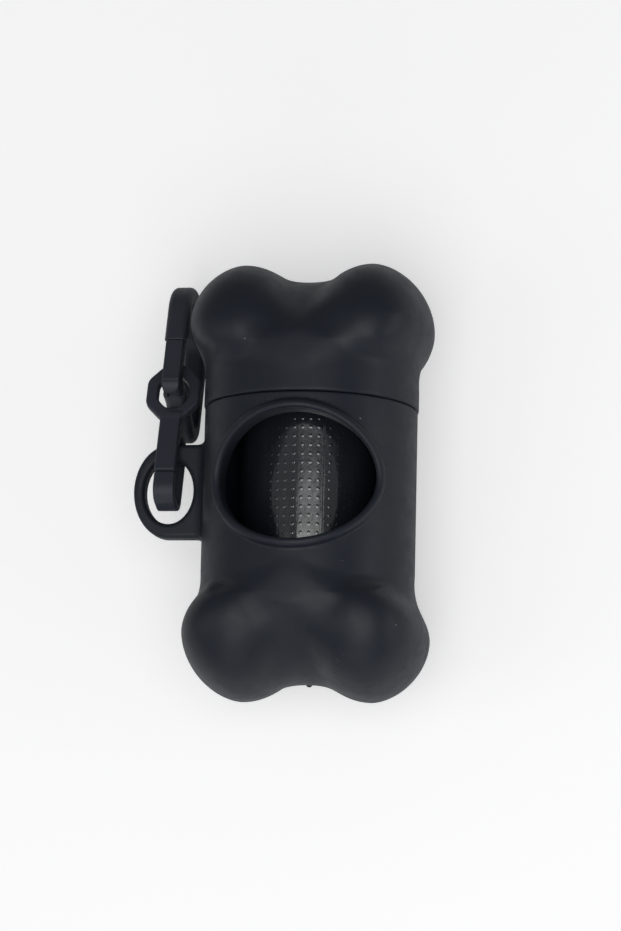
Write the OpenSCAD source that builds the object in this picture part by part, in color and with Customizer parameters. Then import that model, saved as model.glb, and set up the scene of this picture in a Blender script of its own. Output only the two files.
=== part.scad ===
// Bone-shaped dispenser for rolls of dog waste bags, with its snap link and clip.
// It lies on its back: the long axis runs along Y with the cap at +Y, the bag
// window faces +Z and the clip ear points to -X. Z = 0 is the surface it lies on,
// and the origin is on that surface, under the middle of the barrel.

/* [Bag roll] */
// Radius of the roll of bags
roll_r = 13.6; // [11:0.1:17]
// Length of the roll of bags
roll_l = 54; // [46:0.5:64]
// Step at the loose edge of the outermost bag
film_step = 0.35; // [0.2:0.05:0.8]
// Direction of the loose edge, from +X towards the window
film_edge_angle = 78; // [0:1:359]
// Outer radius of the paper core
core_r = 7; // [5:0.1:8.4]
// Wall of the paper core
core_wall = 1.2; // [0.8:0.1:1.6]
// Clearance between the core and the film wound on it
core_gap = 0.05; // [0.02:0.01:0.1]
// Gap under the roll where it lies in its bay
roll_gap = 0.3; // [0.2:0.05:1]

/* [Barrel] */
// Difference between the bay's radius and the roll's
bay_play = 2.8; // [1.5:0.1:4]
// Room at each end of the roll
end_play = 0.5; // [0.3:0.1:2]
// Wall of the barrel
barrel_wall = 3.9; // [3:0.1:4.4]
// Rounding of the bay's ends
bay_round = 2; // [1:0.25:4]
// Plastic between the bay's end and the dip between the lobes
end_wall = 8; // [5:0.1:10]

/* [Lobes] */
// Height of the lobe tips over the dip between them
dip_depth = 3.9; // [2:0.1:5]
// How far a lobe stands out beyond the barrel's side
lobe_out = 2.6; // [1.5:0.1:4]
// Half-width of a lobe
lobe_rx = 11.3; // [9.4:0.1:13.6]
// Half-length of a lobe
lobe_ry = 11.3; // [9.6:0.1:13]
// Fullness of a lobe's outline: 2 is an ellipse, less is nearer a diamond
lobe_fullness = 1.8; // [1.6:0.05:2.4]
// How far a lobe's outline is turned outwards
lobe_turn = 5.5; // [0:0.5:15]
// How far a lobe's back and front stand proud of the barrel
lobe_proud = 0.4; // [0.2:0.1:1.5]
// Length of the barrel's domed end between the lobes
dome_l = 20.8; // [12:0.2:24]
// Softness of the valleys between lobes and barrel
valley_soft = 3.7; // [2:0.1:8]
// Softness of the dip between the two lobes of one end
dip_soft = 8.7; // [4:0.1:10]
// Radius of the coring pocket inside each lobe
pocket_r = 5.6; // [4:0.1:6.4]
// How far the pockets stay inside the bay's widest part
pocket_in = 0.6; // [0:0.1:3]
// Plastic left at the tip of each lobe
pocket_wall = 3.2; // [2:0.1:5]

/* [Cap] */
// Length of the cap, from its rim to the lobe tips
cap_l = 27.8; // [26:0.2:33]
// How far the cap's rim stands proud of the barrel
cap_proud = 0.2; // [0:0.05:0.5]
// Wall of the cap's skirt
skirt_wall = 2; // [1.4:0.1:2.4]
// Length of the neck that the skirt covers
neck_l = 8; // [5:0.5:10]
// Radial clearance between the neck and the skirt
neck_gap = 0.06; // [0.03:0.01:0.2]
// Clearance between the cap's rim and the barrel's shoulder
rim_gap = 0.1; // [0.05:0.01:0.3]
// Clearance between the neck's end and the step inside the cap
neck_end_gap = 0.3; // [0.1:0.05:1]

/* [Window] */
// Half-width of the bag window, measured straight across
window_hx = 14.6; // [11:0.1:15.6]
// Half-length of the bag window along the barrel
window_hy = 12; // [9:0.1:12.8]
// Distance from the cap's rim to the middle of the window
window_drop = 15.3; // [14.4:0.1:19.6]
// Radius of the rounded lip round the window
lip_r = 0.95; // [0.7:0.05:1.2]
// How far the lip overhangs the window's edge
lip_in = 0.2; // [0:0.05:0.5]
// Height of the lip's centre line over the barrel
lip_rise = 0.35; // [0:0.05:0.6]

/* [Clip ear] */
// Half-length of the ear along the barrel
ear_hy = 9; // [8:0.1:11]
// Half-width of the ear's hole
ear_hole_hx = 4.7; // [3.6:0.1:5]
// Width of the ear's two long bars, above and below its hole
ear_bar = 2.8; // [2.4:0.1:3.4]
// Width of the bar at the ear's outer end
ear_end_bar = 2.1; // [1.9:0.1:3.2]
// Thickness of the ear
ear_t = 4; // [3:0.1:4.4]
// Rounding of the ear's edges
ear_round = 0.9; // [0.4:0.1:1.2]
// Place of the ear's middle along the barrel
ear_y = -1.8; // [-6:0.1:2]

/* [Link] */
// Width of the link's shank and snap loop
shank_w = 4; // [3:0.1:4.4]
// Thickness of the link's shank
shank_t = 2; // [1.6:0.1:2.4]
// Thickness of the snap loop's strip
loop_t = 1.5; // [1.3:0.1:2]
// Clearance between the snap loop and the corners of the ear's bar
loop_gap = 0.2; // [0.15:0.05:0.6]
// Rounding inside the snap loop
loop_round = 1.6; // [1:0.1:2]
// Length of the snap loop beyond the ear's bar
loop_tail = 10.2; // [7:0.1:10.6]
// Step from the shank's face down to the snap loop's
shank_step = 0.4; // [0:0.1:0.8]
// How far the shank's end overlaps the snap loop's rounded end
shank_lap = 1; // [0.6:0.1:1.4]
// Rounding of the shank's edges
shank_round = 0.35; // [0.2:0.05:0.8]
// Slit between the shank's end and the snap loop's free end
snap_slit = 0.25; // [0.15:0.05:0.6]
// Half width of the ring's hole, which the clip passes through
ring_hole_hx = 2.9; // [2.8:0.1:3.3]
// Half length of the ring's hole
ring_hole_hy = 3.6; // [3.1:0.1:4.7]
// Width of the ring's bar
ring_bar = 2.3; // [1.8:0.1:2.4]
// Thickness of the ring's bar
ring_t = 1.8; // [1.4:0.1:2.2]
// Distance from the ear's bar to the middle of the ring
ring_out = 11.2; // [10:0.1:14]
// Rounding of the ring's eight corners, on its centre line
ring_round = 1.8; // [1:0.1:2.4]
// Share of the ring's sides that is straight
ring_side = 0.45; // [0.3:0.05:0.6]
// Share of the ring's ends that is straight
ring_end = 0.4; // [0.3:0.05:0.6]
// Rounding of the edges of the ring's bar
ring_edge = 0.5; // [0.2:0.1:0.8]
// Downward tilt of the link as it lies
link_tilt = 20; // [12:0.5:24]

/* [Clip] */
// Width of the clip's frame
clip_w = 4.4; // [3.6:0.1:4.6]
// Thickness of the frame in its own plane
clip_t = 3.4; // [2.8:0.1:3.8]
// Overall length of the clip
clip_l = 30.5; // [28:0.1:38]
// Overall depth of the clip, from gate to spine
clip_d = 21; // [19:0.1:24]
// How far the frame's tail reaches back past the gate's pivot
clip_tail = 6.4; // [6:0.1:9]
// Width of the gate
gate_w = 3.6; // [3.2:0.1:3.8]
// Thickness of the gate
gate_t = 2.8; // [2.4:0.1:3.2]
// Distance from the gate's pivot to its tip
gate_l = 10.7; // [9:0.1:14]
// Width of the tongue that carries the gate
tongue_w = 1.5; // [1.2:0.1:1.8]
// Radius of the moulded pivot pips on the tongue
pip_r = 0.6; // [0.5:0.05:0.8]
// Running clearance of the pips in the gate's sockets
pip_gap = 0.05; // [0.03:0.01:0.1]
// Clearance beside the tongue and round the gate's tip
gate_gap = 0.15; // [0.1:0.05:0.3]
// Length of the lap between the gate's tip and the nose
lap_l = 1.6; // [1:0.1:2]
// Wall left outside the gate's sockets
socket_wall = 0.5; // [0.4:0.05:0.8]
// Wall of the gate's root round its sockets
root_wall = 0.8; // [0.6:0.1:1.2]
// Turn of the gate that its slot leaves room for
gate_swing = 15; // [8:1:20]
// Height of the gate's pivot over the ring's upper face
pivot_rise = 2.5; // [2.2:0.1:4]
// How far the gate's pivot lies past the middle of the ring
pivot_past_ring = -0.1; // [-2:0.1:2]
// Radius of the clip's nose, on its centre line
nose_round = 6; // [4:0.5:8]
// Radius of the clip's heel, on its centre line
heel_round = 7.5; // [5:0.5:9]
// Radius of the clip's tail, on its centre line
tail_round = 4; // [3:0.5:6]
// Radius of the bend from the tail up to the gate's root, on its centre line
root_bend = 3; // [2:0.5:4]
// Rounding of the edges of the frame's bar
clip_edge = 1.2; // [0.6:0.1:1.5]
// How far the clip hangs off the link's middle, towards the cap
clip_shift = 0.3; // [0:0.1:0.5]
// Gap between the link or clip and the widest part beside it
clip_gap = 1.1; // [0.4:0.1:2]

/* [Hidden] */
$fn = 96;
PLASTIC = "#25272c";
FILM = "#6e6b6b";
PAPER = "#b39c7d";

// ---- Sizes that follow from the roll outwards

bay_r = roll_r + bay_play;
bay_half = roll_l / 2 + end_play;
bay_end = bay_half + bay_round;
barrel_r = bay_r + barrel_wall;
half_l = bay_end + end_wall + dip_depth;
joint_y = half_l - cap_l;
window_y = joint_y - window_drop;
roll_drop = bay_r - roll_r - roll_gap;

lobe_x = barrel_r + lobe_out - lobe_rx;
lobe_y = half_l - lobe_ry;
lobe_rz = barrel_r + lobe_proud;
dome_y = half_l - dip_depth - dome_l;

neck_r = barrel_r + cap_proud - skirt_wall - neck_gap;
neck_end = joint_y + neck_l;

ring_hx = ring_hole_hx + ring_bar;
ring_hy = ring_hole_hy + ring_bar;
bar_y = ear_y + ear_hy - ear_bar / 2;
// The clip passes the lobe, and the ring passes the barrel
clip_out = lobe_x + lobe_rx + clip_gap + clip_w / 2 + clip_shift;
ring_past_barrel = barrel_r + cap_proud + clip_gap + ring_hx;
link_x = -max(clip_out, ring_past_barrel);
ear_hx = ear_hole_hx + ear_end_bar;
ear_x = link_x;
clip_x = link_x + clip_shift;
ear_root_x = -bay_r - 0.8;

// ---- Outer form of the bone: a domed barrel melted into two lobes at each end

SIDES = 56;
FAN_STEPS = 15;
NECK_STEPS = 5;
lobe_start = lobe_y - lobe_ry - valley_soft;
fan_y = lobe_y - lobe_ry * 0.65;

// Distance to an ellipsoid, exact on its surface
function ellipsoid_d(p, c, r) =
    let (q = [(p.x - c.x) / r.x, (p.y - c.y) / r.y, (p.z - c.z) / r.z])
    let (slope = norm([q.x / r.x, q.y / r.y, q.z / r.z]))
    norm(q) * (norm(q) - 1) / max(slope, 0.0001);

// Smaller of two distances, rounded where they meet
function soft_min(a, b, soft) =
    let (h = max(soft - abs(a - b), 0) / soft)
    min(a, b) - h * h * soft / 4;

function barrel_d(p, r) =
    p.y < dome_y ? norm([p.x, p.z]) - r : ellipsoid_d(p, [0, dome_y, 0], [r, dome_l, r]);

// Distance to the lobe on one side, roughly; side is -1 or 1
function lobe_d(p, side) =
    let (x = side * p.x - lobe_x)
    let (y = p.y - lobe_y)
    let (across = abs(x * cos(lobe_turn) - y * sin(lobe_turn)) / lobe_rx)
    let (along = abs(x * sin(lobe_turn) + y * cos(lobe_turn)) / lobe_ry)
    let (outline = pow(pow(across, lobe_fullness) + pow(along, lobe_fullness), 1 / lobe_fullness))
    (norm([outline, p.z / lobe_rz]) - 1) * lobe_rx;

function lobes_d(p) = soft_min(lobe_d(p, -1), lobe_d(p, 1), dip_soft);

function bone_d(p, r) = soft_min(barrel_d(p, r), lobes_d(p), valley_soft);

// Length of the ray from o along u to the bone's skin, found by halving
function ray_hit(o, u, r, near = 1, far = 60, left = 20) =
    let (mid = (near + far) / 2)
    left == 0 ? mid
    : bone_d(o + mid * u, r) < 0 ? ray_hit(o, u, r, mid, far, left - 1)
    : ray_hit(o, u, r, near, mid, left - 1);

function skin_ring(y, rise, r) =
    [for (i = [0 : SIDES - 1])
        let (a = 360 * i / SIDES)
        let (u = [cos(a) * cos(rise), sin(rise), sin(a) * cos(rise)])
        [0, y, 0] + ray_hit([0, y, 0], u, r) * u];

// Rings of one end of the bone, from a flat face at start_y to the dip between the lobes
function skin_rings(start_y, r) = concat(
    [[for (i = [0 : SIDES - 1]) let (a = 360 * i / SIDES) [r * cos(a), start_y, r * sin(a)]]],
    [for (k = [0 : NECK_STEPS]) skin_ring(lobe_start + (fan_y - lobe_start) * k / NECK_STEPS, 0, r)],
    [for (k = [1 : FAN_STEPS - 1]) skin_ring(fan_y, 90 * k / FAN_STEPS, r)]);

body_rings = skin_rings(-joint_y, barrel_r);
cap_rings = skin_rings(joint_y + rim_gap, barrel_r + cap_proud);

// Height of the long axis: the part stands on the backs of its lobes
axis_z = max([for (ring = concat(body_rings, cap_rings)) for (p = ring) -p.z]);

// ---- Place of the link and the clip

// How far the rounded hole falls away from the ear's bar at the sides of the snap loop
bar_sag = (ear_hy - ear_bar) * (1 - sqrt(1 - pow(shank_w / 2 / ear_hole_hx, 2)));
// Room that the ear's bar needs inside the snap loop, in any direction
loop_in = norm([ear_bar / 2 + bar_sag - ear_round, ear_t / 2 - ear_round]) + ear_round + loop_gap;
loop_end = ear_bar / 2 + loop_tail;
shank_z = loop_in + loop_t + shank_step - shank_t / 2;
shank_end = -loop_in - shank_lap;

// The clip's gate pivot stands over the middle of the ring, clear of the gate's swing
pivot_over_ring = ring_t / 2 + pivot_rise;
ring_dir = [cos(link_tilt), -sin(link_tilt)];
ring_up = [sin(link_tilt), cos(link_tilt)];
pivot = [bar_y, axis_z] + (ring_out + pivot_past_ring) * ring_dir + (shank_z + pivot_over_ring) * ring_up;

// Frame outline beside the pivot, x along the clip and y up from the pivot to the gate's side
root_r = gate_t / 2 + root_wall;
tongue_r = root_r - root_wall;
front_y = root_r;
lap_y = front_y - gate_t / 2;
mid_y = front_y - clip_t / 2;
nose_x = clip_l - clip_tail;
spine_y = mid_y - clip_d + clip_t;

// The clip leans until its heel, the rounded corner of spine and nose, meets the surface
heel = [nose_x - clip_t / 2 - heel_round, -spine_y - heel_round];
heel_reach = norm(heel);
clip_tilt = asin((pivot.y - heel_round - clip_t / 2) / heel_reach) - atan(heel.y / heel.x);

// ---- Solids from rings of points

function flat(list) = [for (part = list) for (item = part) item];

function unit(v) = v / norm(v);

// Sides between rings of n points; the last ring is joined to the first if it is closed
function side_faces(n, m, closed) =
    [for (k = [0 : closed ? m - 1 : m - 2]) for (i = [0 : n - 1])
        let (j = (i + 1) % n)
        let (l = (k + 1) % m)
        each [[k * n + i, k * n + j, l * n + j], [k * n + i, l * n + j, l * n + i]]];

// Skin with a flat first ring, closed by a pole beyond its last ring
module dome(rings, pole) {
    n = len(rings[0]);
    m = len(rings);
    start = [for (i = [n - 1 : -1 : 0]) i];
    tip = [for (i = [0 : n - 1]) [(m - 1) * n + i, (m - 1) * n + (i + 1) % n, m * n]];
    polyhedron(concat(flat(rings), [pole]), concat([start], side_faces(n, m, false), tip));
}

// Tube through rings, with flat ends or closed on itself
module tube(rings, closed = false) {
    n = len(rings[0]);
    m = len(rings);
    ends = [[for (i = [n - 1 : -1 : 0]) i], [for (i = [0 : n - 1]) (m - 1) * n + i]];
    polyhedron(flat(rings), concat(closed ? [] : ends, side_faces(n, m, closed)));
}

// Arc of radius r that rounds corner b of the path a, b, c
function fillet(a, b, c, r, steps) =
    let (u = unit(a - b))
    let (v = unit(c - b))
    let (half = acos(u * v) / 2)
    let (centre = b + unit(u + v) * r / sin(half))
    let (from = unit(b + u * r / tan(half) - centre))
    let (to = unit(b + v * r / tan(half) - centre))
    let (turn = 180 - 2 * half)
    [for (i = [0 : steps])
        centre + r * (sin(turn * (1 - i / steps)) * from + sin(turn * i / steps) * to) / sin(turn)];

// Closed outline with rounded corners, each corner given as [point, radius]
function rounded(corners, steps) =
    let (n = len(corners))
    [for (i = [0 : n - 1])
        let (before = corners[(i + n - 1) % n][0], after = corners[(i + 1) % n][0])
            each fillet(before, corners[i][0], after, corners[i][1], steps)];

// Open path whose inner corners are rounded
function rounded_path(corners, steps) =
    let (n = len(corners))
    concat([corners[0][0]],
        [for (i = [1 : n - 2])
            each fillet(corners[i - 1][0], corners[i][0], corners[i + 1][0], corners[i][1], steps)],
        [corners[n - 1][0]]);

function rectangle(w, h, r, steps) = rounded(
    [[[w / 2, h / 2], r], [[-w / 2, h / 2], r], [[-w / 2, -h / 2], r], [[w / 2, -h / 2], r]], steps);

function path_dir(path, i, closed) =
    let (n = len(path))
    let (before = closed ? path[(i + n - 1) % n] : path[max(i - 1, 0)])
    let (after = closed ? path[(i + 1) % n] : path[min(i + 1, n - 1)])
    unit(after - before);

// Rings of a bar along a flat path; the section's first size runs along across
function bar_rings(path, section, across, closed = false) =
    [for (i = [0 : len(path) - 1])
        let (out = cross(across, path_dir(path, i, closed)))
        [for (s = section) path[i] + s.x * across + s.y * out]];

// Turned shape along Y from a profile of [radius, y] points
module turned(profile) {
    rotate([-90, 0, 0])
        rotate_extrude()
            polygon(profile);
}

module rod_y(r, from, to) {
    translate([0, from, 0])
        rotate([-90, 0, 0])
            cylinder(r = r, h = to - from);
}

// Shape drawn in Y and Z, w thick and centred on X = 0
module slab_x(w) {
    translate([-w / 2, 0, 0])
        rotate([90, 0, 90])
            linear_extrude(w)
                children();
}

module rod_x(r, w) {
    translate([-w / 2, 0, 0])
        rotate([0, 90, 0])
            cylinder(r = r, h = w);
}

// ---- Body and cap, drawn with their long axis along Y through the origin

// Profile of the roll bay's closed end, from its rim to the axis, for the +Y end
function bay_end_profile() = concat(
    [for (a = [0 : 15 : 90]) [bay_r - bay_round + bay_round * cos(a), bay_half + bay_round * sin(a)]],
    [[0, bay_end]]);

// Roll bay from one closed end to the open end at y = from
module bay(from) {
    turned(concat([[0, from], [bay_r, from]], bay_end_profile()));
}

// Pocket that cores out one lobe from inside the bay; side is -1 or 1
module lobe_pocket(side) {
    tip = half_l - pocket_wall - pocket_r;
    translate([side * (bay_r - pocket_r - pocket_in), 0, 0])
        turned(concat([[0, bay_half], [pocket_r, bay_half]],
            [for (a = [0 : 15 : 90]) [pocket_r * cos(a), tip + pocket_r * sin(a)]]));
}

module window_cut() {
    linear_extrude(barrel_r * 2)
        polygon([for (a = [0 : 6 : 354]) [window_hx * cos(a), window_y + window_hy * sin(a)]]);
}

// Rounded lip that follows the barrel round the window
module window_lip() {
    hx = window_hx + lip_r - lip_in;
    hy = window_hy + lip_r - lip_in;
    r = barrel_r + lip_rise;
    rings = [for (a = [0 : 7.5 : 352.5])
        let (x = hx * cos(a))
        let (z = sqrt(r * r - x * x))
        let (out = [x, 0, z] / r)
        let (along = unit([-hx * sin(a), hy * cos(a), hx * sin(a) * x / z]))
        let (side = cross(out, along))
        let (middle = [x, window_y + hy * sin(a), z])
            [for (b = [0 : 36 : 324]) middle + lip_r * (cos(b) * out + sin(b) * side)]];
    tube(rings, closed = true);
}

// Inset and height of the ear's rounded edge, from its lower face to its upper one
function ear_edge() = concat(
    [for (a = [-90 : 30 : 0]) [ear_round * (1 - cos(a)), -ear_t / 2 + ear_round * (1 + sin(a))]],
    [for (a = [0 : 30 : 90]) [ear_round * (1 - cos(a)), ear_t / 2 - ear_round * (1 - sin(a))]]);

module ear_plate() {
    rings = [for (e = ear_edge())
        concat([[ear_root_x, ear_y - ear_hy + e.x, e.y]],
            [for (a = [270 : -7.5 : 90])
                [ear_x + (ear_hx - e.x) * cos(a), ear_y + (ear_hy - e.x) * sin(a), e.y]],
            [[ear_root_x, ear_y + ear_hy - e.x, e.y]])];
    tube(rings);
}

module ear_hole() {
    edge = ear_edge();
    over = [[ear_round, ear_t]];
    rings = [for (e = concat(-over, edge, over))
        [for (a = [352.5 : -7.5 : 0])
            let (grow = abs(e.x))
            [ear_x + (ear_hole_hx + grow) * cos(a), ear_y + (ear_hy - ear_bar + grow) * sin(a), e.y]]];
    tube(rings);
}

module body_solid() {
    difference() {
        union() {
            mirror([0, 1, 0])
                dome(body_rings, [0, fan_y + ray_hit([0, fan_y, 0], [0, 1, 0], barrel_r), 0]);
            rod_y(neck_r, joint_y - 4, neck_end);
            window_lip();
            ear_plate();
        }
        mirror([0, 1, 0])
            bay(-neck_end - 1);
        mirror([0, 1, 0])
            for (side = [-1, 1])
                lobe_pocket(side);
        window_cut();
        ear_hole();
    }
}

module cap_solid() {
    difference() {
        dome(cap_rings, [0, fan_y + ray_hit([0, fan_y, 0], [0, 1, 0], barrel_r + cap_proud), 0]);
        bay(joint_y - 1);
        rod_y(neck_r + neck_gap, joint_y - 1, neck_end + neck_end_gap);
        for (side = [-1, 1])
            lobe_pocket(side);
    }
}

module body() {
    color(PLASTIC)
        translate([0, 0, axis_z])
            body_solid();
}

module cap() {
    color(PLASTIC)
        translate([0, 0, axis_z])
            cap_solid();
}

// ---- Roll, lying on the floor of its bay

module roll_core() {
    color(PAPER)
        translate([0, 0, axis_z - roll_drop])
            difference() {
                rod_y(core_r, -roll_l / 2, roll_l / 2);
                rod_y(core_r - core_wall, -roll_l / 2 - 1, roll_l / 2 + 1);
            }
}

// The outermost turn of film tapers by one step over a full turn and ends in a loose edge
module bag_roll() {
    turns = 72;
    color(FILM)
        translate([0, 0, axis_z - roll_drop])
            difference() {
                rotate([90, -film_edge_angle, 0])
                    translate([0, 0, -roll_l / 2])
                        linear_extrude(roll_l)
                            polygon([for (i = [0 : turns])
                                let (r = roll_r - film_step * i / turns)
                                r * [cos(360 * i / turns), -sin(360 * i / turns)]]);
                rod_y(core_r + core_gap, -roll_l / 2 - 1, roll_l / 2 + 1);
            }
}

// ---- Link, drawn with the ear's bar along X through the origin and its shank along +Y

module snap_loop() {
    long = loop_end + loop_in + loop_t;
    high = 2 * (loop_in + loop_t);
    slit = shank_end - snap_slit;
    slab_x(shank_w)
        difference() {
            translate([loop_in + loop_t - long / 2, 0])
                polygon(rectangle(long, high, loop_t + loop_round, 6));
            translate([loop_in - (long - 2 * loop_t) / 2, 0])
                polygon(rectangle(long - 2 * loop_t, high - 2 * loop_t, loop_round, 6));
            translate([slit, 0])
                square([snap_slit, high]);
        }
}

module shank() {
    length = ring_out - ring_hy + ring_bar / 2 - shank_end;
    translate([0, shank_end, shank_z])
        rotate([-90, 0, 0])
            linear_extrude(length)
                polygon(rectangle(shank_w, shank_t, shank_round, 3));
}

module ring() {
    hx = ring_hx - ring_bar / 2;
    hy = ring_hy - ring_bar / 2;
    side_y = hy * ring_side;
    end_x = hx * ring_end;
    corners = [[hx, -side_y], [hx, side_y], [end_x, hy], [-end_x, hy],
        [-hx, side_y], [-hx, -side_y], [-end_x, -hy], [end_x, -hy]];
    line = [for (p = rounded([for (c = corners) [c, ring_round]], 3)) [p.x, p.y, 0]];
    translate([0, ring_out, shank_z])
        tube(bar_rings(line, rectangle(ring_t, ring_bar, ring_edge, 2), [0, 0, 1], true), closed = true);
}

module link() {
    color(PLASTIC)
        translate([link_x, bar_y, axis_z])
            rotate([-link_tilt, 0, 0]) {
                snap_loop();
                shank();
                ring();
            }
}

// ---- Clip, drawn with the gate's pivot along X through the origin and its gate along +Y

module clip_place() {
    translate([clip_x, pivot.x, pivot.y])
        rotate([-clip_tilt, 0, 0])
            children();
}

// Centre line of the frame from its nose round the heel and tail up to the tongue
module frame_bar() {
    tail_x = -clip_tail + clip_t / 2;
    far_x = nose_x - clip_t / 2;
    nose_from = gate_l - lap_l - clip_edge / 2;
    corners = [[[nose_from, mid_y], 0], [[far_x, mid_y], nose_round], [[far_x, spine_y], heel_round],
        [[tail_x, spine_y], tail_round], [[0, -root_r - clip_t], root_bend], [[0, -root_r / 2], 0]];
    path = [for (p = rounded_path(corners, 7)) [0, p.x, p.y]];
    tube(bar_rings(path, rectangle(clip_w, clip_t, clip_edge, 2), [1, 0, 0]));
}

// Everything near the nose within radius r of the pivot and below the height top
module nose_cut(r, top) {
    intersection() {
        rod_x(r, clip_w + 1);
        translate([-clip_w, gate_l / 2, -clip_t])
            cube([2 * clip_w, gate_l, clip_t + top]);
    }
}

module clip_frame() {
    color(PLASTIC)
        clip_place() {
            difference() {
                frame_bar();
                rod_x(root_r + gate_gap, clip_w + 1);
                nose_cut(gate_l - lap_l, front_y + 1);
                nose_cut(gate_l + gate_gap, lap_y + gate_gap);
            }
            rod_x(tongue_r, tongue_w);
            slab_x(tongue_w)
                translate([-tongue_r, -root_r - clip_t / 2])
                    square([2 * tongue_r, root_r + clip_t / 2]);
            rod_x(pip_r, gate_w - 2 * socket_wall);
        }
}

// Length of the gate's bar out to radius r from the pivot, up to the height top
module gate_bar(r, top) {
    intersection() {
        rod_x(r, gate_w);
        slab_x(gate_w)
            translate([0, front_y - gate_t])
                square([r, top - front_y + gate_t]);
    }
}

module clip_gate() {
    color(PLASTIC)
        clip_place()
            difference() {
                union() {
                    rod_x(root_r, gate_w);
                    gate_bar(gate_l - lap_l - gate_gap, front_y);
                    gate_bar(gate_l, lap_y);
                }
                rod_x(pip_r + pip_gap, gate_w - 2 * socket_wall + pip_gap);
                rod_x(tongue_r + gate_gap, tongue_w + 2 * gate_gap);
                slab_x(tongue_w + 2 * gate_gap)
                    translate([-root_r, -root_r])
                        square([root_r + tongue_r + root_r * tan(gate_swing) + gate_gap, root_r]);
            }
}

body();
cap();
roll_core();
bag_roll();
link();
clip_frame();
clip_gate();
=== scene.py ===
import bpy
import math
import numpy as np
from mathutils import Matrix, Vector


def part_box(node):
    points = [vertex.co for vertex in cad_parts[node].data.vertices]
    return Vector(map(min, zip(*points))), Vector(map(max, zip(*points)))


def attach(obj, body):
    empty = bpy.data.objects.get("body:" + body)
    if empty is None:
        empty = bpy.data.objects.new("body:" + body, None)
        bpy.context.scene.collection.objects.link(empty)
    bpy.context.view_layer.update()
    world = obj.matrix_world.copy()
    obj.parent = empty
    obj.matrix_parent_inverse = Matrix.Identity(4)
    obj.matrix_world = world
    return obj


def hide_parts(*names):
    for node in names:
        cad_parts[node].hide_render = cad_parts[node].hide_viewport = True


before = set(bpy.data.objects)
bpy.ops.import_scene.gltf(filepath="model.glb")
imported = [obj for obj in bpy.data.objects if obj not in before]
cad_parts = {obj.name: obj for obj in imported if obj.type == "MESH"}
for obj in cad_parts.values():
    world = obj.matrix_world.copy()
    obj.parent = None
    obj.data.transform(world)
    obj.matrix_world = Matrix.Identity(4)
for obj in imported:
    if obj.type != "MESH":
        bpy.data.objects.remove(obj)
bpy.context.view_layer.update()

MM = 0.001
AXIS_Z = (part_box("cap")[0].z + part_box("cap")[1].z) / 2 / MM
COARSE_PITCH, CASE_PITCH = 0.8, 0.42
COARSE_FINE_PITCH, FINE_PITCH = 0.3, 0.16

# ---------------------------------------------------------------- sizes, in millimetres
# Roll and bay. ROLL_Z is how far the roll's axis lies below the case's.
ROLL_R, ROLL_L, ROLL_LOW = 13.6, 54.0, 0.3
CORE_R, CORE_WALL = 7.0, 1.2
BAY_R, BAY_HALF, BAY_END, BAY_ROUND = 16.4, 27.5, 29.5, 2.6
ROLL_Z = BAY_R - ROLL_R - ROLL_LOW

# Outside of the case. Each end is described as pointing to +Y, with the case's axis at z = 0.
BARREL_R, CAP_PROUD = 20.3, 0.2
HALF_L, JOINT_Y, RIM_GAP = 41.4, 13.6, 0.1
DOME_L, DOME_BACK, DOME_RZ, DOME_SOFT = 20.8, 3.9, 21.5, 0.8
DOME_Y = HALF_L - DOME_BACK - DOME_L
LOBE_RX, LOBE_RY, LOBE_RZ, LOBE_X, LOBE_Y = 11.3, 11.3, BARREL_R + 0.1, 11.6, 30.1
LOBE_FULLNESS, LOBE_TURN = 1.8, math.radians(5.5)
CREST_Y, CREST_FALL, LEAN = 23.5, 0.2, 1.2
FORK_Y, ARM_SLIM, ARM_FULLNESS, ARM_TAPER, ARM_SINK = 22.6, 0.8, 3.0, 0.4, 1.6
VALLEY_SOFT, VALLEY_FADE, DIP_SOFT, DIP_FADE = 3.7, 0.6, 8.7, 0.5
FORK_SOFT, ARM_SOFT = 0.8, 1.5
PLANE_TRIM, PLANE_SOFT = 0.02, 0.5
NUB_AT, NUB_R, NUB_SOFT = (0.3, -38, -3), 0.5, 0.2

# Inside of the case
POCKET_R, POCKET_WALL, POCKET_END, POCKET_START, POCKET_SOFT = 5.6, 0.6, 3.2, BAY_HALF - 4, 0.6
POCKET_X, POCKET_Y = BAY_R - POCKET_R - POCKET_WALL, HALF_L - POCKET_END - POCKET_R
NECK_R, NECK_END, NECK_ROOT, NECK_ROUND, NECK_SOFT = 18.44, 21.6, 4, 0.8, 0.2
SOCKET_END, SOCKET_GAP, SOCKET_SOFT = 21.9, 0.06, 0.2
BODY_RIM_SOFT, CAP_RIM_SOFT, HOLLOW_SOFT = 0.35, 0.45, 0.5

# Window and its lip
WINDOW_HX, WINDOW_HY, WINDOW_Y, WINDOW_SOFT = 14.6, 12.0, -1.7, 0.6
LIP_R, LIP_IN, LIP_RISE, LIP_SOFT = 0.95, 0.2, 0.35, 0.6
LIP_STEPS, LIP_STEP = 4, 0.8

# Ear
EAR_HY, EAR_HOLE_HX, EAR_BAR, EAR_END, EAR_T, EAR_Y = 9.0, 4.7, 2.8, 2.1, 4.0, -1.8
EAR_ROUND, EAR_SINK, EAR_SOFT = 0.9, 1.5, 1.6
LINK_X = -26.8
BAR_Y = EAR_Y + EAR_HY - EAR_BAR / 2

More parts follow.
